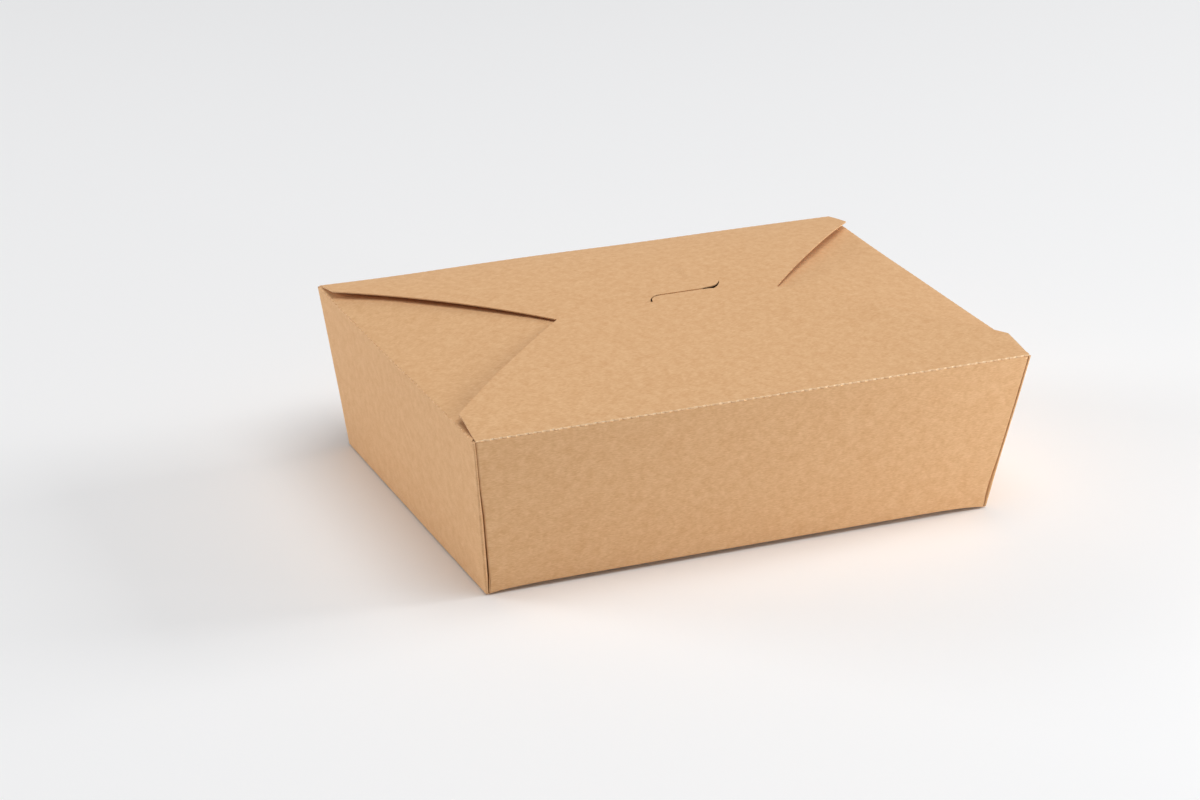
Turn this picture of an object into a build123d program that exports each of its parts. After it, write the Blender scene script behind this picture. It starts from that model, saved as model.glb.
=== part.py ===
"""Kraft take-out container: one sheet of paperboard, creased and folded up.

The blank is a cross. One strip of it makes the bottom, the two long walls and the back flap.
The other makes the bottom, the two end walls and the end flaps. Folded webs close the corners.
The front flap, which opens first, swings on its perforated fold and is a piece of its own.
+X runs along the length, the front is at -Y, and the origin is under the middle of the bottom.
"""

import os
from math import atan, atan2, cos, degrees, hypot, radians, sin, sqrt, tan

from build123d import *

os.makedirs("parts", exist_ok=True)

# Board
board = 0.42  # thickness of the sheet
ply_gap = 0.10  # air between plies that are folded onto each other
fold_radius = 0.5  # bend of the middle of the sheet at a crease

# Tray
bottom_length = 199.0  # outside, along X
bottom_width = 139.1  # outside, along Y
wall_height = 61.6  # table to the top folds
flare = 9.0  # lean of each wall over its height
web_drop = 2.0  # corner webs end this far below the top folds

# Long flaps
dome = 6.8  # crown of the back flap over the top folds
crown_behind = 17.6  # crown of the back flap, behind the middle
back_overlap = 4.0  # back flap past the middle, under the front flap
front_overlap = 0.8  # front flap past the middle, over the back flap
front_curl = 400.0  # bend radius of the front flap
flap_shoulder = 15.5  # straight side of a long flap before it slants
flap_slant = 45.0  # slant of a long flap's side, in degrees
flap_corner = 3.0  # rounding of the front flap's free corners
lap_clearance = 0.25  # air between flaps that lie over each other
hinge_clearance = 0.10  # air at the front flap's fold

# End flaps
end_flap_length = 70.0  # fold to free edge
end_curl = 420.0  # bend radius
end_inset = 3.0  # fold starts this far from the corner
end_taper = 41.0  # slant of the sides, in degrees

# Top folds
hinge_bevel = 0.12  # bevel of the board's end at the front flap's fold
perforation_pitch = 3.175  # middle to middle of the cuts
perforation_cut = 1.6  # length of a cut
perforation_gap = 0.2  # width of a cut once the fold has opened it

# Lock
tab_middle = 9.4  # middle of the tab and slit, to the right of the box's middle
tab_root = 29.0  # width of the tab where it leaves the front flap
tab_neck = 19.4  # width of the tab in the slit
tab_reach = 6.6  # slit, behind the middle
tab_depth = 9.0  # length of the tab below its bend
tab_bend = 0.6  # bend of the tab into the slit
tab_shoulder = 4.6  # rounding of the tab's shoulders
slit_kerf = 1.0  # width of the opened slit
slit_front_hook = 4.8  # radius of the left end, which turns to the front
slit_front_turn = 70.0  # turn of the left end, in degrees
slit_back_hook = 9.5  # radius of the right end, which turns to the back
slit_back_turn = 66.0  # turn of the right end, in degrees

# What follows from the sizes above
lean = atan(flare / wall_height)
half_board = board / 2
top_length = bottom_length + 2 * flare
top_width = bottom_width + 2 * flare
fold_height = wall_height - half_board
cut_height = wall_height - board - fold_radius
trim = dome + 2 * board
fold_depth = 4 * fold_radius
web_outer = board + ply_gap
web_inner = 2 * web_outer
hairpin = board + ply_gap / 2
hairpin_land = 1.2 * hairpin
hairpin_width = 1.5 * hairpin
hairpin_round = 0.95 * hairpin


def face_at(half_size, height, depth=0.0):
    """Distance from the middle to a leaning wall, at a height and a depth below its outside."""
    return half_size + height * tan(lean) - depth / cos(lean)


def wall_plane(half_size, across, along, depth):
    """Plane of a leaning wall, its normal pointing outwards, at a depth below its outside."""
    outward = Vector(across * cos(lean), along * cos(lean), -sin(lean))
    foot = Vector(across * half_size, along * half_size, 0) - outward * depth
    return Plane(origin=foot, x_dir=(-along, across, 0), z_dir=outward)


def fold_plane(across, along, reach, flap_start):
    """Plane at a top fold, along the fold, its normal midway between the wall and the flap."""
    out = Vector(sin(lean), cos(lean)) - flap_start
    return Plane(
        origin=(across * reach, along * reach, fold_height),
        x_dir=(along, across, 0),
        z_dir=(across * out.X, along * out.X, out.Y),
    )


def cuts_along(length):
    """Number of perforation cuts that a fold of this length takes."""
    return int(length // perforation_pitch)


# Back flap, on a circle through its fold and its crown
back_fold = face_at(bottom_width / 2, fold_height, half_board)
back_curl = ((back_fold - crown_behind) ** 2 + dome**2) / (2 * dome)
back_centre = fold_height + dome - back_curl


def back_flap_height(behind):
    """Height of the middle of the back flap's board, at a distance behind the box's middle."""
    return back_centre + sqrt(back_curl**2 - (behind - crown_behind) ** 2)


# Outline that both long flaps share, as far as the box's middle line
flap_half = face_at(bottom_length / 2, wall_height, web_inner)
shoulder_y = top_width / 2 - flap_shoulder


def flap_side(past_middle):
    """Half the width of a long flap where it ends, at a distance past the middle line."""
    return flap_half - (shoulder_y + past_middle) / tan(radians(flap_slant))


# Long strip of the sheet: front wall, bottom, back wall and back flap
long_foot = face_at(bottom_width / 2, half_board, half_board)
front_wall_top = fold_height - (half_board + hinge_clearance) * cos(lean)
back_trim = back_overlap + board
slit_end = tab_neck / 2 + (slit_kerf - board) / 2
with BuildPart() as long_strip:
    with BuildSketch(Plane.YZ):
        with BuildLine() as long_path:
            FilletPolyline(
                (-face_at(bottom_width / 2, front_wall_top, half_board), front_wall_top),
                (-long_foot, half_board),
                (long_foot, half_board),
                (back_fold, fold_height),
                radius=fold_radius,
            )
            back_curve = RadiusArc(
                (back_fold, fold_height),
                (-back_overlap, back_flap_height(-back_overlap)),
                -back_curl,
            )
            fillet(long_path.vertices().sort_by(Axis.X)[-1], fold_radius)
        trace(long_path.line, line_width=board)
    extrude(amount=top_length, both=True)
    for side in (1, -1):
        split(bisect_by=wall_plane(bottom_length / 2, side, 0, web_inner), keep=Keep.BOTTOM)
    # Straight and slanting sides of the back flap
    for side in (1, -1):
        with BuildSketch(Plane.XY.offset(wall_height)):
            with BuildLine():
                Polyline(
                    (side * flap_half, top_width),
                    (side * flap_half, shoulder_y),
                    (side * flap_side(back_trim), -back_trim),
                    (side * top_length, -back_trim),
                    (side * top_length, top_width),
                    close=True,
                )
            make_face()
        extrude(amount=trim, mode=Mode.SUBTRACT)
    # Perforation of the back flap's fold
    with Locations(fold_plane(0, 1, back_fold, back_curve % 0)):
        with GridLocations(perforation_pitch, 0, cuts_along(2 * flap_half), 1):
            Box(perforation_cut, perforation_gap, fold_depth, mode=Mode.SUBTRACT)
    # Lock slit, with one end turned to the front and the other to the back
    with BuildSketch(Plane.XY.offset(wall_height)):
        with BuildLine() as slit_path:
            slit = Line((tab_middle - slit_end, tab_reach), (tab_middle + slit_end, tab_reach))
            JernArc(slit @ 0, (-1, 0), slit_front_hook, slit_front_turn)
            JernArc(slit @ 1, (1, 0), slit_back_hook, slit_back_turn)
        trace(slit_path.line, line_width=slit_kerf)
    extrude(amount=trim, mode=Mode.SUBTRACT)

# Short strip of the sheet: end flap, end wall, bottom, end wall and end flap
end_foot = face_at(bottom_length / 2, half_board, half_board)
end_fold = face_at(bottom_length / 2, fold_height, half_board)
end_free = top_length / 2 - end_flap_length
end_height = back_flap_height(-back_overlap) - board - lap_clearance
end_side = top_width / 2 - end_inset
end_tip_side = end_side - (end_flap_length + board) * tan(radians(end_taper))
with BuildPart() as short_strip:
    with BuildSketch(Plane.XZ):
        with BuildLine() as short_path:
            FilletPolyline(
                (0, half_board),
                (end_foot, half_board),
                (end_fold, fold_height),
                radius=fold_radius,
            )
            end_curve = RadiusArc((end_fold, fold_height), (end_free, end_height), -end_curl)
            fillet(short_path.vertices().sort_by(Axis.X)[-1], fold_radius)
        trace(short_path.line, line_width=board)
        mirror(about=Plane.YZ)
    extrude(amount=top_width, both=True)
    for side in (1, -1):
        split(bisect_by=wall_plane(bottom_width / 2, 0, side, hairpin_land), keep=Keep.BOTTOM)
    # Slanting sides of the end flaps
    for end in (1, -1):
        for side in (1, -1):
            with BuildSketch(Plane.XY.offset(cut_height)):
                with BuildLine():
                    Polyline(
                        (end * top_length, side * end_side),
                        (end * top_length / 2, side * end_side),
                        (end * (end_free - board), side * end_tip_side),
                        (end * (end_free - board), side * top_width),
                        (end * top_length, side * top_width),
                        close=True,
                    )
                make_face()
            extrude(amount=trim + wall_height - cut_height, mode=Mode.SUBTRACT)
    # Perforation of the end flaps' folds
    for end in (1, -1):
        with Locations(fold_plane(end, 0, end_fold, end_curve % 0)):
            with GridLocations(perforation_pitch, 0, cuts_along(2 * end_side), 1):
                Box(perforation_cut, perforation_gap, fold_depth, mode=Mode.SUBTRACT)

# Corner web: the sheet turns back at the end wall's edge, lies on the inside of the end wall,
# turns back again at its slanting fold and joins the long wall
edge_lean = atan(sin(lean))
web_lean = radians(45) - 2 * edge_lean
web_top = (wall_height - web_drop) / cos(lean)


def corner_edge(up, inset):
    """Point on the end wall beside its edge, at a distance up the wall."""
    return (bottom_width / 2 + up * sin(lean) - inset / cos(edge_lean), up)


def web_fold(up, inset):
    """Point on the end wall beside the web's slanting fold, at a distance up the wall."""
    return (bottom_width / 2 - up * tan(web_lean) + inset / cos(web_lean), up)


def web_foot(edge_inset, fold_inset):
    """Distance up the wall where a ply begins, between its two insets."""
    spread = edge_inset / cos(edge_lean) + fold_inset / cos(web_lean)
    return spread / (sin(lean) + tan(web_lean))


with BuildPart() as web:
    # Hairpin between the end wall and the web's first ply
    with BuildSketch(wall_plane(bottom_length / 2, 1, 0, 2 * hairpin)):
        with BuildLine():
            Polyline(
                corner_edge(board, 0),
                corner_edge(cut_height / cos(lean), 0),
                corner_edge(cut_height / cos(lean), hairpin_width),
                corner_edge(board, hairpin_width),
                close=True,
            )
        make_face()
    extrude(amount=2 * hairpin)
    hairpin_edges = web.edges().sort_by(SortBy.LENGTH)[-4:]
    fillet(hairpin_edges.sort_by(Axis.Y)[-2:], hairpin_round)
    # Hairpin along the slanting fold, between the two plies
    slant_foot = web_foot(hairpin_land, hairpin_width)
    with BuildSketch(wall_plane(bottom_length / 2, 1, 0, web_outer + 2 * hairpin)):
        with BuildLine():
            Polyline(
                web_fold(slant_foot, 0),
                web_fold(web_top, 0),
                web_fold(web_top, hairpin_width),
                web_fold(slant_foot, hairpin_width),
                close=True,
            )
        make_face()
    extrude(amount=2 * hairpin)
    slant_edges = web.edges(Select.LAST).sort_by(SortBy.LENGTH)[-4:]
    fillet(slant_edges.sort_by(Axis.Y)[:2], hairpin_round)
    # The two plies, the first from the end wall's edge and the second from the long wall
    for depth, edge_inset in ((web_outer, hairpin_land), (web_inner, half_board)):
        ply_foot = web_foot(edge_inset, hairpin_land)
        with BuildSketch(wall_plane(bottom_length / 2, 1, 0, depth + board)):
            with BuildLine():
                Polyline(
                    corner_edge(ply_foot, edge_inset),
                    corner_edge(web_top, edge_inset),
                    web_fold(web_top, hairpin_land),
                    close=True,
                )
            make_face()
        extrude(amount=board)

with BuildPart() as end_webs:
    add(web.part)
    mirror(about=Plane.XZ)

# The folded sheet, without the front flap
with BuildPart() as tray:
    add(long_strip.part)
    add(short_strip.part)
    add(end_webs.part)
    mirror(end_webs.part, about=Plane.YZ)
tray.part.label = "folded_tray"
export_step(tray.part, "parts/folded_tray.step")

# Front flap: bevelled at its hinge, curved like the lid, its tab bent down through the slit along
# the circle that it swings on
hinge_y = -back_fold
lock_height = back_flap_height(tab_reach) + board + lap_clearance
tab_swing = hypot(tab_reach - hinge_y, lock_height - fold_height)
tab_start = degrees(atan2(lock_height - fold_height, tab_reach - hinge_y))
tab_arc = degrees(tab_depth / tab_swing)
tab_shelf = tab_reach - tab_bend
with BuildPart() as front_flap:
    with BuildSketch(Plane.YZ) as flap_section:
        with BuildLine() as flap_path:
            flap_curve = RadiusArc((hinge_y, fold_height), (tab_reach, lock_height), front_curl)
            Line(flap_curve @ 0, flap_curve @ 0 - flap_curve % 0 * half_board)
            CenterArc((hinge_y, fold_height), tab_swing, tab_start, -tab_arc)
            fillet(flap_path.vertices().sort_by(Axis.Y)[-1], tab_bend)
        trace(flap_path.line, line_width=board)
        chamfer(flap_section.vertices().sort_by(Axis.X)[:2], hinge_bevel)
    extrude(amount=flap_half, both=True)
    with BuildSketch(Plane.XY.offset(fold_height - tab_depth)):
        with BuildLine():
            Polyline(
                (-flap_half, -top_width),
                (-flap_half, -shoulder_y),
                (-flap_side(front_overlap), front_overlap),
                (flap_side(front_overlap), front_overlap),
                (flap_half, -shoulder_y),
                (flap_half, -top_width),
                close=True,
            )
        outline = make_face()
        fillet(outline.vertices().group_by(Axis.Y)[-1], flap_corner)
        with BuildLine():
            Polyline(
                (tab_middle - tab_root / 2, -front_overlap),
                (tab_middle - tab_root / 2, tab_shelf),
                (tab_middle + tab_root / 2, tab_shelf),
                (tab_middle + tab_root / 2, -front_overlap),
                close=True,
            )
        shelf = make_face()
        fillet(shelf.vertices().group_by(Axis.Y)[-1], tab_shoulder)
        with Locations((tab_middle, tab_shelf)):
            Rectangle(tab_neck, 2 * (tab_bend + board))
    extrude(amount=tab_depth + trim, mode=Mode.INTERSECT)
    # Perforation of the hinge fold
    with Locations((0, hinge_y - half_board, fold_height)):
        with GridLocations(perforation_pitch, 0, cuts_along(2 * flap_half), 1):
            Box(perforation_cut, 2 * board, fold_depth, mode=Mode.SUBTRACT)
front_flap.part.label = "front_flap"
export_step(front_flap.part, "parts/front_flap.step")
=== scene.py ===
from math import asin, atan, atan2, cos, floor, hypot, pi, radians, sin, sqrt, tan

import bmesh
import bpy
from mathutils import Matrix, Vector, noise


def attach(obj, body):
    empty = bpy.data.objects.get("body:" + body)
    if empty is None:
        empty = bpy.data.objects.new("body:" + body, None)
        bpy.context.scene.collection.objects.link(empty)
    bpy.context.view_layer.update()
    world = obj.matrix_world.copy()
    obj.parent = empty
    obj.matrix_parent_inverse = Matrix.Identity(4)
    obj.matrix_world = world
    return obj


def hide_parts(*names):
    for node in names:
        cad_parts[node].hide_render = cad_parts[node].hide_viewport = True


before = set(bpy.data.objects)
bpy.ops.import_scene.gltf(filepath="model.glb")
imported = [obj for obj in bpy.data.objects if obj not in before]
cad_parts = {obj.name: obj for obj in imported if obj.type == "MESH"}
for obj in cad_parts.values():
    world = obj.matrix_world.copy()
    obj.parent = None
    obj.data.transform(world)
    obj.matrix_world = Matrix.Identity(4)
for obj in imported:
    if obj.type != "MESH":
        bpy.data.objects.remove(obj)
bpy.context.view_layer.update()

# Bottom, long walls and back flap. This strip of the blank is one run of kraft paperboard, creased
# across at the bottom and folded up. The back flap's fold is perforated by the die, with cuts and
# bridges of equal length, and an S-shaped slit in the flap takes the lid's tab.
mm = 0.001
board = 0.42 * mm
half_board = board / 2
fold_radius = 0.5 * mm
fold_steps = 6
weld = 0.06 * mm
bottom_length = 199.0 * mm
bottom_width = 139.1 * mm
wall_height = 61.6 * mm
flare = 9.0 * mm
lean = atan(flare / wall_height)
fold_height = wall_height - half_board
top_length = bottom_length + 2 * flare
top_width = bottom_width + 2 * flare
panel_row = 5.0 * mm
perforation = 3.175 * mm
cell = perforation / 2

dome = 6.8 * mm
crown_behind = 17.6 * mm
flap_rows = 18
front_overlap = 0.8 * mm
back_overlap = 4.0 * mm
flap_shoulder = 15.5 * mm
hinge_clearance = 0.10 * mm
ply_clearance = 0.10 * mm
ply_pitch = board + ply_clearance
corner_gap = 0.25 * mm
corner_radius = 0.2 * mm
long_wall_depth = 2 * ply_pitch + half_board + corner_gap + corner_radius

tab_middle = 8.4 * mm
tab_neck = 17.4 * mm
tab_reach = 6.6 * mm
slit_kerf = 0.56 * mm
slit_lift = 0.75 * mm
slit_lip = 14.0 * mm
slit_gape = 0.55 * mm
slit_closing = 0.4 * slit_kerf
slit_front_hook = 4.8 * mm
slit_front_turn = radians(75)
slit_back_hook = 11.0 * mm
slit_back_turn = radians(66)
hook_steps = 10
die_past = 5.0 * mm


def linear(hex_colour):
    """sRGB hex colour as the linear colour that a shader takes."""
    parts = [int(hex_colour[i:i + 2], 16) / 255 for i in (1, 3, 5)]
    return [p / 12.92 if p <= 0.04045 else ((p + 0.055) / 1.055) ** 2.4 for p in parts] + [1.0]


def add_node(tree, kind, links=(), **settings):
    """Adds a node, sets its properties and input values, and links outputs into its inputs."""
    node = tree.nodes.new(kind)
    for name, value in settings.items():
        if hasattr(node, name):
            setattr(node, name, value)
        else:
            node.inputs[name.replace("_", " ")].default_value = value
    for output, socket in links:
        tree.links.new(output, node.inputs[socket])
    return node


def kraft_board(name, dark, light, roughness):
    """Unbleached kraft paperboard: matt, with cloudy formation and crossing fibres in two tones."""
    cloud_size = 3.0 * mm
    fibre_length = 1.5 * mm
    fibre_width = 0.3 * mm
    fibre_turns = ((0, 0.05, 0.06), (0.2, 0.3, 1.45), (0.3, -1.2, -0.3))
    tone_range = (1.58, 2.42)
    tooth = 0.03 * mm
    material = bpy.data.materials.new(name)
    material.use_nodes = True
    tree = material.node_tree
    tree.nodes.clear()
    place = add_node(tree, "ShaderNodeTexCoord").outputs["Object"]
    # Fibres lie both ways in the sheet and up its walls. Real ones are some 0.03 mm wide, too fine
    # to show in the render, so they are drawn ten times as wide
    cloud = add_node(tree, "ShaderNodeTexNoise", [(place, "Vector")], Scale=1 / cloud_size, Detail=3.0)
    tones = [cloud.outputs["Fac"]]
    for turn in fibre_turns:
        laid = add_node(tree, "ShaderNodeMapping", [(place, "Vector")], Rotation=turn)
        laid.inputs["Scale"].default_value = (1 / fibre_length, 1 / fibre_width, 1 / fibre_width)
        fibre = add_node(tree, "ShaderNodeTexNoise", [(laid.outputs[0], "Vector")], Scale=1.0, Detail=2.0)
        tones.append(fibre.outputs["Fac"])
    tone = tones[0]
    for other in tones[1:]:
        tone = add_node(tree, "ShaderNodeMath", [(tone, 0), (other, 1)], operation="ADD").outputs[0]
    # The four tones add up to about 2, and only the middle of their range is spread over the colours
    spread = add_node(tree, "ShaderNodeMapRange", [(tone, "Value")],
                      From_Min=tone_range[0], From_Max=tone_range[1])
    # A mix node's colour inputs 6 and 7 and its colour output 2 share their names with other sockets
    colour = add_node(tree, "ShaderNodeMix", [(spread.outputs["Result"], "Factor")], data_type="RGBA")
    colour.inputs[6].default_value = linear(dark)
    colour.inputs[7].default_value = linear(light)
    bump = add_node(tree, "ShaderNodeBump", [(tone, "Height")], Strength=0.15, Distance=tooth)
    shader = add_node(
        tree, "ShaderNodeBsdfPrincipled",
        [(colour.outputs[2], "Base Color"), (bump.outputs[0], "Normal")], Roughness=roughness, IOR=1.5)
    add_node(tree, "ShaderNodeOutputMaterial", [(shader.outputs[0], "Surface")])
    return material


# Uncoated kraft board as it leaves the mill: a warm, flecked brown with hardly a sheen
sheet_face = kraft_board("kraft_paperboard", "#D4A270", "#E6BA8A", 0.85)
# The ends of its fibres where the die cut it: a thin line with no sheen, a little duller than the face
cut_edge = kraft_board("die_cut_board_edge", "#CDA073", "#E0B68A", 0.95)
edge_slot = 1
# Board stretched and broken over a perforated fold: loose fibres make the fold a paler, dotted line, and
# its colour is lightened further as painted light over the shade that falls in the cuts
creased_painted_light = kraft_board("creased_board_painted_light", "#E4BB8E", "#F2CDA2", 0.95)


def wall_mid(half_size, height, depth=half_board):
    """Distance from the box's middle to a leaning wall, at a height and a depth in it."""
    return half_size + height * tan(lean) - depth / cos(lean)


def row_of_edges(sheet, start, step, count):
    """A row of edges, one for each column of a sheet."""
    seed = bmesh.ops.create_vert(sheet, co=start)["vert"]
    bmesh.ops.spin(sheet, geom=seed, cent=(0, 0, 0), axis=(1, 0, 0), dvec=step, angle=0, steps=count)
    return sheet.edges[:]


def carry(sheet, row, along=(0, 0, 0), steps=1, centre=(0, 0, 0), axis=(1, 0, 0), angle=0.0):
    """Carries a row of edges along a flat panel or round a bend, and returns its last place."""
    moved = bmesh.ops.spin(sheet, geom=row, cent=centre, axis=axis, dvec=Vector(along) / steps,
                           angle=angle, steps=steps)["geom_last"]
    return [part for part in moved if isinstance(part, bmesh.types.BMEdge)]


def middle(edge):
    """Midpoint of an edge."""
    return (edge.verts[0].co + edge.verts[1].co) / 2


def is_cut(place, half_length):
    """Whether a place along a perforated fold lies in a cut; bridges and the fold's ends are whole."""
    return abs(place) < half_length - cell and floor(place / cell + 0.5) % 2 == 0


def ease(value, start, end):
    """0 before the start, 1 past the end, and a smooth rise between."""
    part = min(1, max(0, (value - start) / (end - start)))
    return part * part * (3 - 2 * part)


# The seed keeps the board's waves the same in every run
wave_seed = 8
noise.seed_set(wave_seed)


def settle(piece):
    """Lets the board wave, but not at the hinge fold, and the ends stand lower than the middle."""
    wave_length = 70 * mm
    wave = 0.5 * mm
    still = 20 * mm
    bow = 1.4 * mm
    bow_power = 12
    for vert in piece.data.vertices:
        place = vert.co.copy()
        away = hypot(place.y + back_fold, place.z - fold_height)
        amount = wave * ease(place.z, 0, wall_height) * ease(away, 0, still)
        vert.co += noise.noise_vector(place / wave_length) * amount
        toward_end = min(1, (2 * place.x / bottom_length) ** bow_power)
        vert.co.z -= bow * toward_end * (1 - ease(place.z, 0, still))


def add_object(name, shape, materials):
    """Makes an object of a bmesh, with its materials."""
    mesh = bpy.data.meshes.new(name)
    shape.to_mesh(mesh)
    shape.free()
    for material in materials:
        mesh.materials.append(material)
    made = bpy.data.objects.new(name, mesh)
    bpy.context.scene.collection.objects.link(made)
    return made


def board_piece(name, sheet, cutters=()):
    """Gives a sheet the board's thickness, die-cuts it, and shades its folds smooth."""
    sharp_angle = radians(40)
    bmesh.ops.recalc_face_normals(sheet, faces=sheet.faces)
    piece = add_object(name, sheet, [sheet_face, cut_edge])
    thickness = piece.modifiers.new("board", "SOLIDIFY")
    thickness.thickness = board
    thickness.offset = 0
    thickness.use_even_offset = True
    thickness.material_offset_rim = edge_slot
    dies = []
    for shape, operation, edge_material in cutters:
        dies.append(add_object(name + "_die", shape, [edge_material]))
        cut = piece.modifiers.new("die", "BOOLEAN")
        cut.operation = operation
        cut.object = dies[-1]
        cut.solver = "EXACT"
        cut.material_mode = "TRANSFER"
    evaluated = piece.evaluated_get(bpy.context.evaluated_depsgraph_get())
    piece.data = bpy.data.meshes.new_from_object(evaluated)
    piece.modifiers.clear()
    for die in dies:
        bpy.data.objects.remove(die)
    piece.data.shade_smooth()
    piece.data.set_sharp_from_angle(angle=sharp_angle)
    return piece


def tear_and_lighten(piece, out, reach):
    """Gives the cuts of the perforated fold that lies at reach along out their broken, pale ends,
    lightened as painted light over the shade in the cuts.
    """
    below = 2.0 * mm
    inside = 1.0 * mm
    piece.data.materials.append(creased_painted_light)
    creased_light_slot = len(piece.data.materials) - 1
    for face in piece.data.polygons:
        at_fold = face.center.z > wall_height - below and abs(face.center.dot(out)) > reach - inside
        if at_fold and face.material_index == edge_slot:
            face.material_index = creased_light_slot


def perforate(sheet, folded, wall_row, flap_row, wall_up, flap_out, lip, along, half_length):
    """Opens the cuts of a perforated fold: no bend there, only the two panels' straight edges."""
    lips = []
    for row, direction in ((wall_row, wall_up), (flap_row, flap_out)):
        lips.append(([e for e in row if is_cut(middle(e).dot(along), half_length)], direction))
    open_faces = [f for f in folded if is_cut(f.calc_center_median().dot(along), half_length)]
    bmesh.ops.delete(sheet, geom=open_faces, context="FACES_ONLY")
    for row, direction in lips:
        carry(sheet, row, along=Vector(direction) * lip)


long_foot = wall_mid(bottom_width / 2, half_board)
back_fold = wall_mid(bottom_width / 2, fold_height)
wall_run = hypot(back_fold - long_foot, fold_height - half_board)
foot_turn = pi / 2 - lean
foot_tangent = fold_radius * tan(foot_turn / 2)
back_curl = ((back_fold - crown_behind) ** 2 + dome**2) / (2 * dome)
back_centre = fold_height + dome - back_curl
back_rise = asin((back_fold - crown_behind) / back_curl)
back_turn = pi / 2 + lean - back_rise
back_tangent = fold_radius * tan(back_turn / 2)
back_lip = (fold_radius - half_board) * tan(back_turn / 2)
back_end = asin((back_overlap + crown_behind) / back_curl)
along_x = Vector((1, 0, 0))
along_y = Vector((0, 1, 0))
front_up = Vector((0, -sin(lean), cos(lean)))
back_up = Vector((0, sin(lean), cos(lean)))
back_out = Vector((0, cos(back_rise), -sin(back_rise)))
columns = 2 * round(top_length / perforation) + 1
front_top = (half_board + hinge_clearance) * cos(lean)

long_sheet = bmesh.new()
front_start = Vector((-columns / 2 * cell, -back_fold, fold_height)) - front_up * front_top
row = row_of_edges(long_sheet, front_start, (cell, 0, 0), columns)
wall_rows = round(wall_run / panel_row)
row = carry(long_sheet, row, -front_up * (wall_run - front_top - foot_tangent), wall_rows)
row = carry(long_sheet, row, steps=fold_steps, angle=foot_turn,
            centre=(0, foot_tangent - long_foot, half_board + fold_radius))
row = carry(long_sheet, row, (0, 2 * (long_foot - foot_tangent), 0), round(bottom_width / panel_row))
row = carry(long_sheet, row, steps=fold_steps, angle=foot_turn,
            centre=(0, long_foot - foot_tangent, half_board + fold_radius))
back_wall_row = carry(long_sheet, row, back_up * (wall_run - foot_tangent - back_tangent), wall_rows)
fold_centre = Vector((0, back_fold, fold_height)) - back_up * back_tangent
fold_centre += Vector((0, -cos(lean), sin(lean))) * fold_radius
back_flap_row = carry(long_sheet, back_wall_row, steps=fold_steps, angle=back_turn, centre=fold_centre)
carry(long_sheet, back_flap_row, steps=flap_rows, centre=(0, crown_behind, back_centre),
      angle=back_rise + back_end - back_tangent / back_curl)

# The walls end at their corner folds, and the flap at its straight and slanting sides
flap_half = wall_mid(bottom_length / 2, wall_height, 2 * ply_pitch)
shoulder_y = top_width / 2 - flap_shoulder
fold_start = fold_height - back_tangent * cos(lean)


def parts_of(faces):
    """Faces with their edges and corners, each once."""
    edges = dict.fromkeys(e for f in faces for e in f.edges)
    verts = dict.fromkeys(v for f in faces for v in f.verts)
    return [*faces, *edges, *verts]


for side in (1, -1):
    outward = Vector((side * cos(lean), 0, -sin(lean)))
    edge = Vector((side * bottom_length / 2, 0, 0)) - outward * long_wall_depth
    walls = [f for f in long_sheet.faces if f.calc_center_median().z < fold_start]
    bmesh.ops.bisect_plane(long_sheet, geom=parts_of(walls), plane_co=edge, plane_no=outward)
    walls = [f for f in long_sheet.faces if f.calc_center_median().z < fold_start]
    beyond = [f for f in walls if (f.calc_center_median() - edge).dot(outward) > 0]
    bmesh.ops.delete(long_sheet, geom=beyond, context="FACES")
    for slant in (Vector((side, 0, 0)), Vector((side, -1, 0))):
        flap = [f for f in long_sheet.faces if f.calc_center_median().z > fold_start]
        bmesh.ops.bisect_plane(long_sheet, geom=parts_of(flap), plane_no=slant, clear_outer=True,
                               plane_co=(side * flap_half, shoulder_y, 0))
back_folded = [f for f in long_sheet.faces if f.calc_center_median().z > fold_start
               and f.calc_center_median().y > back_fold - back_tangent]
bmesh.ops.remove_doubles(long_sheet, verts=long_sheet.verts[:], dist=weld)
back_folded = [f for f in back_folded if f.is_valid]
back_wall_row = [e for e in back_wall_row if e.is_valid]
back_flap_row = [e for e in back_flap_row if e.is_valid]
perforate(long_sheet, back_folded, back_wall_row, back_flap_row, back_up, back_out, back_lip,
          along_x, flap_half)


def slit_die():
    """The S-shaped slit's blade: a straight cut with one end turned to the front, one to the back."""
    blade = bmesh.new()
    half = tab_neck / 2 + (slit_kerf - board) / 2
    left = Vector((tab_middle - half, tab_reach, wall_height))
    right = Vector((tab_middle + half, tab_reach, wall_height))
    depth = Vector((0, 0, dome + die_past))
    across = Vector((0, slit_kerf / 2, 0))
    seed = [bmesh.ops.create_vert(blade, co=right + across * s)["vert"][0] for s in (-1, 1)]
    start = blade.edges.new(seed)
    carry(blade, [start], steps=hook_steps, axis=(0, 0, 1), angle=slit_back_turn,
          centre=right + Vector((0, slit_back_hook, 0)))
    row = carry(blade, [start], along=left - right)
    carry(blade, row, steps=hook_steps, axis=(0, 0, 1), angle=slit_front_turn,
          centre=left - Vector((0, slit_front_hook, 0)))
    # The back hook gapes near the straight cut, and closes to a hair at its end
    for vert in blade.verts:
        arm = vert.co - right - Vector((0, slit_back_hook, 0))
        part = atan2(arm.x, -arm.y) / slit_back_turn
        if arm.x > 0:
            gape = slit_gape * sin(pi * sqrt(part)) - slit_closing * part
            vert.co += arm.normalized() * gape * (1 if arm.length > slit_back_hook else -1)
    top = bmesh.ops.extrude_face_region(blade, geom=blade.faces[:])["geom"]
    bmesh.ops.translate(blade, verts=[v for v in top if isinstance(v, bmesh.types.BMVert)], vec=depth)
    bmesh.ops.recalc_face_normals(blade, faces=blade.faces)
    return blade


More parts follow.
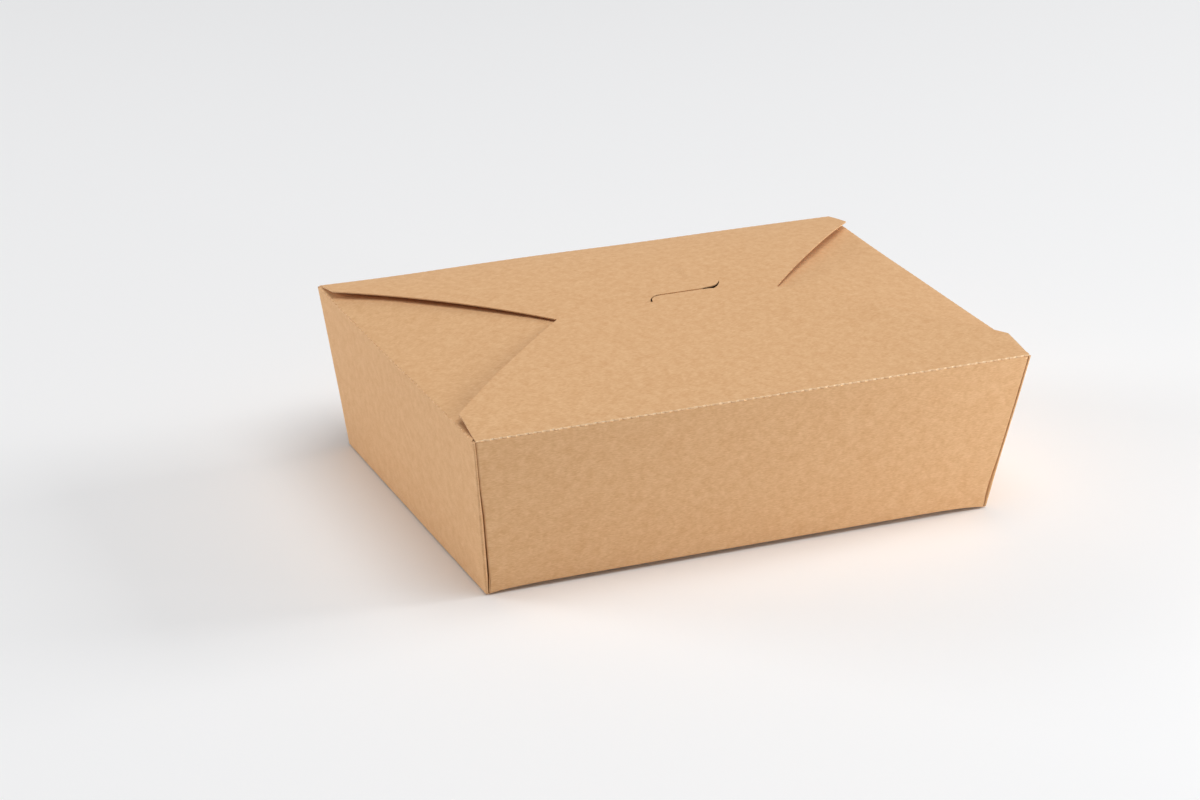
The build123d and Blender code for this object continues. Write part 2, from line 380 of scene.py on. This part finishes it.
def corner_play(piece):
    """Lets the long walls' ends stand off the end walls low down, and meet them at foot and top."""
    reach = 25 * mm
    apart = 0.45 * mm
    meet = 0.25 * mm
    foot_rise = 6 * mm
    first_ply = 1.5 * ply_pitch
    second_ply = 2 * ply_pitch
    third_ply = 3 * ply_pitch
    right_height = 0.35 * wall_height
    left_height = 0.7 * wall_height
    for vert in piece.data.vertices:
        depth = (bottom_length / 2 - abs(vert.co.x)) * cos(lean) + vert.co.z * sin(lean)
        near = ease(depth, first_ply, second_ply) * (1 - ease(depth, third_ply, reach))
        high = right_height if vert.co.x > 0 else left_height
        low = ease(vert.co.z, 0, foot_rise) * (1 - ease(vert.co.z, high - reach / 2, high))
        vert.co.x += (meet - (apart + meet) * low) * near * (1 if vert.co.x > 0 else -1)


def lift_lip(piece):
    """Springs the slit's far lip up, level with the tab that is pulled down through it."""
    left = tab_middle - tab_neck / 2
    right = tab_middle + tab_neck / 2
    for vert in piece.data.vertices:
        x, y, z = vert.co
        if z < wall_height:
            continue
        out = y - tab_reach
        if x < left:
            out = hypot(x - left, y - tab_reach + slit_front_hook) - slit_front_hook
        if x > right:
            out = min(out, slit_back_hook - hypot(x - right, y - tab_reach - slit_back_hook))
        if out > 0:
            share = ease(x, left - slit_lip, left) * (1 - ease(x, right, right + slit_back_hook))
            share *= ease(y, front_overlap, tab_reach - half_board)
            vert.co.z += slit_lift * share * (1 - ease(out, 0, slit_lip))


long_strip = board_piece("bottom_long_walls_and_back_flap", long_sheet,
                         [(slit_die(), "DIFFERENCE", sheet_face)])
tear_and_lighten(long_strip, along_y, back_fold)
lift_lip(long_strip)
corner_play(long_strip)
settle(long_strip)
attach(long_strip, "tray")
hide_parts("folded_tray")

# End walls and end flaps. They fold up from the ends of the same blank of kraft paperboard, with a
# perforated fold at the top, and each flap tapers and lies under the two long flaps. Handling has
# bent the flaps a little.
end_flap_length = 70.0 * mm
end_curl = 600.0 * mm
end_inset = 1.4 * mm
end_flap_rows = 14
end_twist = 1.6 * mm
end_sag = 2.2 * mm
sag_start = 10.0 * mm
sag_end = -40.0 * mm
stiff_fold = 20.0 * mm
end_taper = radians(41)
end_bulge = 0.6 * mm
lap_clearance = 0.25 * mm
hairpin_radius = ply_pitch / 2
hairpin_inset = hairpin_radius + half_board

end_foot = wall_mid(bottom_length / 2, half_board)
end_fold = wall_mid(bottom_length / 2, fold_height)
end_start = wall_mid(bottom_length / 2, half_board, long_wall_depth)
end_free = top_length / 2 - end_flap_length
back_tip_height = back_centre + sqrt(back_curl**2 - (back_overlap + crown_behind) ** 2)
end_height = back_tip_height - board - lap_clearance
end_chord = hypot(end_fold - end_free, end_height - fold_height)
end_sweep = 2 * asin(end_chord / (2 * end_curl))
end_rise = atan2(end_height - fold_height, end_fold - end_free) + end_sweep / 2
end_turn = pi / 2 + lean - end_rise
end_tangent = fold_radius * tan(end_turn / 2)
end_lip = (fold_radius - half_board) * tan(end_turn / 2)
end_up = Vector((sin(lean), 0, cos(lean)))
end_away = Vector((cos(end_rise), 0, -sin(end_rise)))
end_columns = 2 * round(top_width / perforation) + 1
around_y = Vector((0, -1, 0))

end_sheet = bmesh.new()
row = row_of_edges(end_sheet, (end_start, -end_columns / 2 * cell, half_board), (0, cell, 0),
                   end_columns)
row = carry(end_sheet, row, (end_foot - foot_tangent - end_start, 0, 0))
row = carry(end_sheet, row, steps=fold_steps, axis=around_y, angle=foot_turn,
            centre=(end_foot - foot_tangent, 0, half_board + fold_radius))
end_wall_row = carry(end_sheet, row, end_up * (wall_run - foot_tangent - end_tangent), wall_rows)
fold_centre = Vector((end_fold, 0, fold_height)) - end_up * end_tangent
fold_centre += Vector((-cos(lean), 0, sin(lean))) * fold_radius
end_flap_row = carry(end_sheet, end_wall_row, steps=fold_steps, axis=around_y, angle=end_turn,
                     centre=fold_centre)
curl_centre = Vector((end_fold, 0, fold_height)) - Vector((sin(end_rise), 0, cos(end_rise))) * end_curl
carry(end_sheet, end_flap_row, steps=end_flap_rows, axis=around_y, centre=curl_centre,
      angle=end_sweep - end_tangent / end_curl)
fold_start = fold_height - end_tangent * cos(lean)
end_side = top_width / 2 - end_inset
for side in (1, -1):
    outward = Vector((0, side * cos(lean), -sin(lean)))
    edge = Vector((0, side * bottom_width / 2, 0)) - outward * hairpin_inset
    bmesh.ops.bisect_plane(end_sheet, geom=parts_of(end_sheet.faces[:]), plane_co=edge, plane_no=outward,
                           clear_outer=True)
    for taper in (0, end_taper):
        flap = [f for f in end_sheet.faces if f.calc_center_median().z > fold_start]
        plane_no = Vector((-sin(taper), side * cos(taper), 0))
        fold_side = Vector((top_length / 2, side * end_side, 0))
        bmesh.ops.bisect_plane(end_sheet, geom=parts_of(flap), plane_co=fold_side, plane_no=plane_no)
        flap = [f for f in end_sheet.faces if f.calc_center_median().z > fold_start]
        beyond = [f for f in flap if (f.calc_center_median() - fold_side).dot(plane_no) > 0]
        bmesh.ops.delete(end_sheet, geom=beyond, context="FACES")
end_folded = [f for f in end_sheet.faces if f.calc_center_median().z > fold_start
              and f.calc_center_median().x > end_fold - end_tangent]
end_wall_row = [e for e in end_wall_row if e.is_valid]
end_flap_row = [e for e in end_flap_row if e.is_valid]
corner_rows = [e for e in end_wall_row if abs(middle(e).y) > end_side]
perforate(end_sheet, end_folded, end_wall_row, end_flap_row, end_up, end_away, end_lip,
          along_y, end_side)
carry(end_sheet, corner_rows, along=end_up * end_lip)
# The wall bulges most half-way up and half-way along
for vert in end_sheet.verts:
    height = min(1, max(0, vert.co.z / wall_height))
    vert.co.x += end_bulge * 4 * height * (1 - height) * max(0, 1 - (2 * vert.co.y / top_width) ** 2)
bmesh.ops.mirror(end_sheet, geom=end_sheet.verts[:] + end_sheet.edges[:] + end_sheet.faces[:], axis="X",
                 merge_dist=0)
# The flaps' back corners twist, the left one up and the right one down, and the left flap's front sags
for vert in end_sheet.verts:
    if vert.co.z > fold_height:
        lift = end_twist * max(0, vert.co.y) / end_side * (1 if vert.co.x < 0 else -1)
        if vert.co.x < 0:
            lift -= end_sag * ease(vert.co.y, sag_start, sag_end)
        vert.co.z += lift * ease(end_fold - abs(vert.co.x), 0, stiff_fold)
end_walls = board_piece("end_walls_and_end_flaps", end_sheet)
tear_and_lighten(end_walls, along_x, end_fold)
settle(end_walls)
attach(end_walls, "tray")
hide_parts("folded_tray")

# Corner webs. At each corner the blank's kraft paperboard turns back on itself at the end wall's
# edge, lies glued on the wall's inside, turns back again at a slanting crease and runs on into the
# long wall. The inner of the two plies stands off in a shallow bow.
web_drop = 2.0 * mm
web_foot = 0.7 * mm
slant_foot = 3.0 * mm
web_bow = 2.5 * mm
bow_start = 1.85 * ply_pitch
bow_full = 2.1 * ply_pitch
bow_edge = 6 * board
crease_near = 0.4
crease_far = 0.8
hairpin_steps = 8
corner_steps = 4
end_out = Vector((cos(lean), 0, -sin(lean)))
corner_up = Vector((tan(lean), tan(lean), 1)).normalized()
corner_in = end_out.cross(corner_up)
corner_in *= -1 if corner_in.y > 0 else 1
web_angle = (pi / 2 - 2 * atan(sin(lean))) / 2
crease_up = corner_up * cos(web_angle) + corner_in * sin(web_angle)
crease_in = corner_in * cos(web_angle) - corner_up * sin(web_angle)
corner_foot = Vector((bottom_length / 2, bottom_width / 2, 0))
first_depth = ply_pitch + half_board
second_depth = 2 * ply_pitch + corner_gap + half_board
slant_radius = (second_depth - first_depth) / 2
slant_inset = slant_radius + half_board
long_out = Vector((0, cos(lean), -sin(lean)))
corner_turn = pi - end_out.angle(long_out)
web_cells = 10


def web_line(direction, offset, foot, top):
    """A row of edges along a fold of the web, from near the corner's foot up to a height."""
    start = corner_foot + offset + direction * foot
    reach = (top - start.z) / direction.z
    seed = bmesh.ops.create_vert(web_sheet, co=start)["vert"]
    kept = set(web_sheet.edges)
    bmesh.ops.spin(web_sheet, geom=seed, cent=(0, 0, 0), axis=(1, 0, 0), angle=0, steps=web_cells,
                   dvec=direction * reach / web_cells)
    return [e for e in web_sheet.edges if e not in kept]


web_sheet = bmesh.new()
web_top = wall_height - web_drop
corner_top = fold_start + end_lip * cos(lean)
wall_edge = web_line(corner_up, corner_in * hairpin_inset - end_out * half_board, web_foot, corner_top)
centre = corner_foot + corner_in * hairpin_inset - end_out * (half_board + hairpin_radius)
first_edge = carry(web_sheet, wall_edge, steps=hairpin_steps, axis=corner_up, angle=pi,
                   centre=centre)
first_crease = web_line(crease_up, -crease_in * slant_inset - end_out * first_depth, slant_foot, web_top)
bmesh.ops.bridge_loops(web_sheet, edges=first_edge + first_crease)
centre = corner_foot - crease_in * slant_inset - end_out * (first_depth + slant_radius)
second_crease = carry(web_sheet, first_crease, steps=hairpin_steps, axis=crease_up, angle=-pi,
                      centre=centre)
second_inset = half_board + corner_radius
second_edge = web_line(corner_up, corner_in * second_inset - end_out * second_depth, web_foot,
                       fold_height - front_top)
bmesh.ops.bridge_loops(web_sheet, edges=second_crease + second_edge)
centre = corner_foot + corner_in * second_inset - end_out * (second_depth + corner_radius)
carry(web_sheet, second_edge, steps=corner_steps, axis=corner_up, angle=corner_turn, centre=centre)
for axis in ("Y", "X"):
    bmesh.ops.mirror(web_sheet, geom=web_sheet.verts[:] + web_sheet.edges[:] + web_sheet.faces[:],
                     axis=axis, merge_dist=0)
corner_webs = board_piece("corner_webs", web_sheet)
# The inner ply bows between the wall's edge and the slanting crease
for vert in corner_webs.data.vertices:
    depth = (bottom_length / 2 - abs(vert.co.x)) * cos(lean) + vert.co.z * sin(lean)
    inward = (bottom_width / 2 - abs(vert.co.y)) * cos(lean) + vert.co.z * sin(lean)
    bowed = ease(depth, bow_start, bow_full) * ease(inward, board, bow_edge)
    bowed *= 1 - ease(inward, crease_near * vert.co.z, crease_far * vert.co.z + mm)
    vert.co.x -= web_bow * bowed * (1 if vert.co.x > 0 else -1)
corner_play(corner_webs)
settle(corner_webs)
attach(corner_webs, "tray")
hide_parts("folded_tray")

# Front flap. This end of the same blank of kraft paperboard swings on its perforated fold and lies
# over the other three flaps, and its tab is bent down through the back flap's slit to hold the box
# shut.
front_curl = 400.0 * mm
flap_corner = 4.0 * mm
flap_taper = 2.0 * mm
shoulder_lift = 1.2 * mm
lift_reach = 40.0 * mm
root_middle = 9.4 * mm
tab_root = 29.0 * mm
tab_depth = 9.0 * mm
tab_rows = 4
tab_bend = 0.6 * mm
bend_steps = 5
neck_past = 3 * tab_bend
tab_shoulder = 4.6 * mm
bead_radius = 0.19 * mm
same_place = 0.02 * mm
burr = 0.1 * mm
hinge_y = -back_fold
lock_height = back_centre + sqrt(back_curl**2 - (tab_reach - crown_behind) ** 2) + board + lap_clearance
tab_swing = hypot(tab_reach - hinge_y, lock_height - fold_height)
front_sweep = 2 * asin(tab_swing / (2 * front_curl))
tab_start = atan2(lock_height - fold_height, tab_reach - hinge_y)
front_rise = tab_start + front_sweep / 2
tab_turn = pi / 2 + front_sweep / 2
tab_tangent = tab_bend * tan(tab_turn / 2)
notch = half_board * tan((pi / 2 + lean - front_rise) / 2)

front_sheet = bmesh.new()
front_along = Vector((0, cos(front_rise), sin(front_rise)))
hinge = Vector((0, hinge_y, fold_height))
row = row_of_edges(front_sheet, hinge - Vector((columns / 2 * cell, 0, 0)) + front_along * notch,
                   (cell, 0, 0), columns)
bridges = [e for e in row if not is_cut(middle(e).x, flap_half)]
curl_centre = hinge + Vector((0, sin(front_rise), -cos(front_rise))) * front_curl
row = carry(front_sheet, row, steps=flap_rows, centre=curl_centre,
            angle=-(front_sweep - (notch + tab_tangent) / front_curl))
carry(front_sheet, bridges, along=-front_along * (notch + half_board))
tip = middle(row[0])
ahead = Vector((0, cos(front_rise - front_sweep), sin(front_rise - front_sweep)))
bend_centre = Vector((0, tip.y, tip.z)) + Vector((0, ahead.z, -ahead.y)) * tab_bend
row = carry(front_sheet, row, steps=bend_steps, centre=bend_centre, angle=-tab_turn)
carry(front_sheet, row, steps=tab_rows, centre=hinge, angle=-(tab_depth - tab_tangent) / tab_swing)


def outline_die():
    """The front flap's outline in plan, with its rounded corners, tab shelf and tab."""
    outline = bmesh.new()
    side = flap_half - (shoulder_y + front_overlap) - flap_taper
    shelf = tab_reach - tab_bend
    low = fold_height - tab_depth
    neck_end = tab_reach + neck_past
    root_right = root_middle + tab_root / 2
    root_left = root_middle - tab_root / 2
    neck_right = tab_middle + tab_neck / 2
    neck_left = tab_middle - tab_neck / 2
    # Each corner's place in plan and its radius
    corners = (
        (-flap_half, -top_width, 0), (flap_half, -top_width, 0), (flap_half, -shoulder_y, 0),
        (side, front_overlap, flap_corner),
        (root_right, front_overlap, 0), (root_right, shelf, tab_shoulder),
        (neck_right, shelf, 0), (neck_right, neck_end, 0),
        (neck_left, neck_end, 0), (neck_left, shelf, 0),
        (root_left, shelf, tab_shoulder), (root_left, front_overlap, 0),
        (-side, front_overlap, flap_corner), (-flap_half, -shoulder_y, 0))
    verts = [bmesh.ops.create_vert(outline, co=(x, y, low))["vert"][0] for x, y, _ in corners]
    outline.faces.new(verts)
    for vert, (_, _, radius) in zip(verts, corners):
        if radius:
            bmesh.ops.bevel(outline, geom=[vert], offset=radius, offset_type="OFFSET", affect="VERTICES",
                            segments=6, profile=0.5, material=-1)
    top = bmesh.ops.extrude_face_region(outline, geom=outline.faces[:])["geom"]
    bmesh.ops.translate(outline, verts=[v for v in top if isinstance(v, bmesh.types.BMVert)],
                        vec=(0, 0, tab_depth + 2 * dome))
    bmesh.ops.recalc_face_normals(outline, faces=outline.faces)
    return outline


# Long fibres pulled out of the hinge's cuts as the blank was folded, with a painted highlight where light
# catches their raised ends: dots of near-white cream along a brown fold
torn_edge_highlight = kraft_board("torn_perforation_edge_painted_highlight", "#FFDDB0", "#FFEBCB", 0.95)
front_flap = board_piece("front_flap_board", front_sheet, [(outline_die(), "INTERSECT", cut_edge)])
torn_highlight_slot = len(front_flap.data.materials)
front_flap.data.materials.append(torn_edge_highlight)
creased_light_slot = len(front_flap.data.materials)
front_flap.data.materials.append(creased_painted_light)

# The fold's edge is rounded to a bead, and its cuts stand out from it by a burr
bead = bmesh.new()
bead.from_mesh(front_flap.data)
fold_end = hinge - front_along * half_board
bead_edges = [e for e in bead.edges if abs((middle(e) - fold_end).dot(front_along)) < same_place
              and abs(e.verts[0].co.x - e.verts[1].co.x) > cell / 2]
bmesh.ops.bevel(bead, geom=bead_edges, offset=bead_radius, offset_type="OFFSET", affect="EDGES",
                segments=4, profile=0.5, material=-1)
bead_end = 1.05 * notch
# The bead's cuts take the cream torn edge with its painted highlight, and its bridges the paler crease
# with its painted light
for face in bead.faces:
    place = face.calc_center_median()
    if (place - hinge).dot(front_along) < bead_end:
        face.material_index = torn_highlight_slot if is_cut(place.x, flap_half) else creased_light_slot
front_face = Vector((0, -front_along.z, front_along.y))
for vert in {v for f in bead.faces if f.material_index == torn_highlight_slot for v in f.verts}:
    outer = (vert.co - hinge).dot(front_face) > 0
    vert.co += front_face * (burr if outer else -burr) - front_along * burr
bead.to_mesh(front_flap.data)
bead.free()

# The left shoulder has sprung up from the end flap under it
for vert in front_flap.data.vertices:
    inward = (vert.co.x + flap_half - vert.co.y - shoulder_y) / sqrt(2)
    lifted = ease(vert.co.y, hinge_y, -shoulder_y) * (1 - ease(vert.co.y, -shoulder_y, front_overlap))
    vert.co.z += shoulder_lift * lifted * (1 - ease(inward, 0, lift_reach))
settle(front_flap)
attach(front_flap, "front_flap")
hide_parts("front_flap")

# Stage. A plain, pale table top, softboxes overhead and at both sides, a small lamp low down that
# throws light on the front wall's right end, and the camera of the photograph. The box stands on
# its ends, so the table top lies a little under the bottom's middle.
floor_drop = 1.75 * mm
floor_size = 4.0
floor_shape = bmesh.new()
bmesh.ops.create_grid(floor_shape, x_segments=1, y_segments=1, size=floor_size,
                      matrix=Matrix.Translation((0, 0, -floor_drop)))
# Matt white paint: nearly as pale as the light, with soft shadows and no mirror image of the box
table_top = bpy.data.materials.new("pale_table_top")
table_top.use_nodes = True
table_shader = table_top.node_tree.nodes["Principled BSDF"]
table_shader.inputs["Base Color"].default_value = linear("#F8F8F8")
table_shader.inputs["Roughness"].default_value = 0.6
table = add_object("table_top", floor_shape, [table_top])

room_light = 0.27
world = bpy.data.worlds.new("studio")
world.use_nodes = True
room = world.node_tree.nodes["Background"]
room.inputs["Color"].default_value = linear("#F4F6FA")
room.inputs["Strength"].default_value = room_light
bpy.context.scene.world = world

# Each lamp's place and size in metres and its power in watts; all of them face the box
lamps = (
    ("overhead_softbox", (0.2, -0.55, 2.4), 1.8, 33.5),
    ("right_softbox", (2.7, -0.2, 1.15), 1.2, 40),
    ("right_bounce", (0.34, -0.30, 0.03), 0.05, 0.48),
    ("left_softbox", (-1.8, 1.2, 0.54), 0.9, 19))
for name, place, size, power in lamps:
    lamp = bpy.data.lights.new(name, "AREA")
    lamp.energy = power
    lamp.size = size
    fixture = bpy.data.objects.new(name, lamp)
    fixture.location = place
    fixture.rotation_euler = (-Vector(place)).to_track_quat("-Z", "Y").to_euler()
    bpy.context.scene.collection.objects.link(fixture)

# The camera that was fitted to the photograph; its lens and sensor are in millimetres
lens = 98.56
sensor = 36.0
camera_place = Vector((-487.0, -1014.3, 505.5)) * mm
yaw = radians(24.423)
pitch = radians(22.972)
roll = radians(-1.291)
camera_data = bpy.data.cameras.new("photo_view")
camera_data.lens = lens
camera_data.sensor_width = sensor
camera_data.sensor_fit = "HORIZONTAL"
camera = bpy.data.objects.new("photo_view", camera_data)
level = Matrix.Rotation(-yaw, 4, "Z") @ Matrix.Rotation(pi / 2 - pitch, 4, "X")
aim = level @ Matrix.Rotation(-roll, 4, "Z")
camera.matrix_world = Matrix.Translation(camera_place) @ aim
bpy.context.scene.collection.objects.link(camera)
bpy.context.scene.camera = camera
bpy.context.scene.view_settings.view_transform = "Standard"
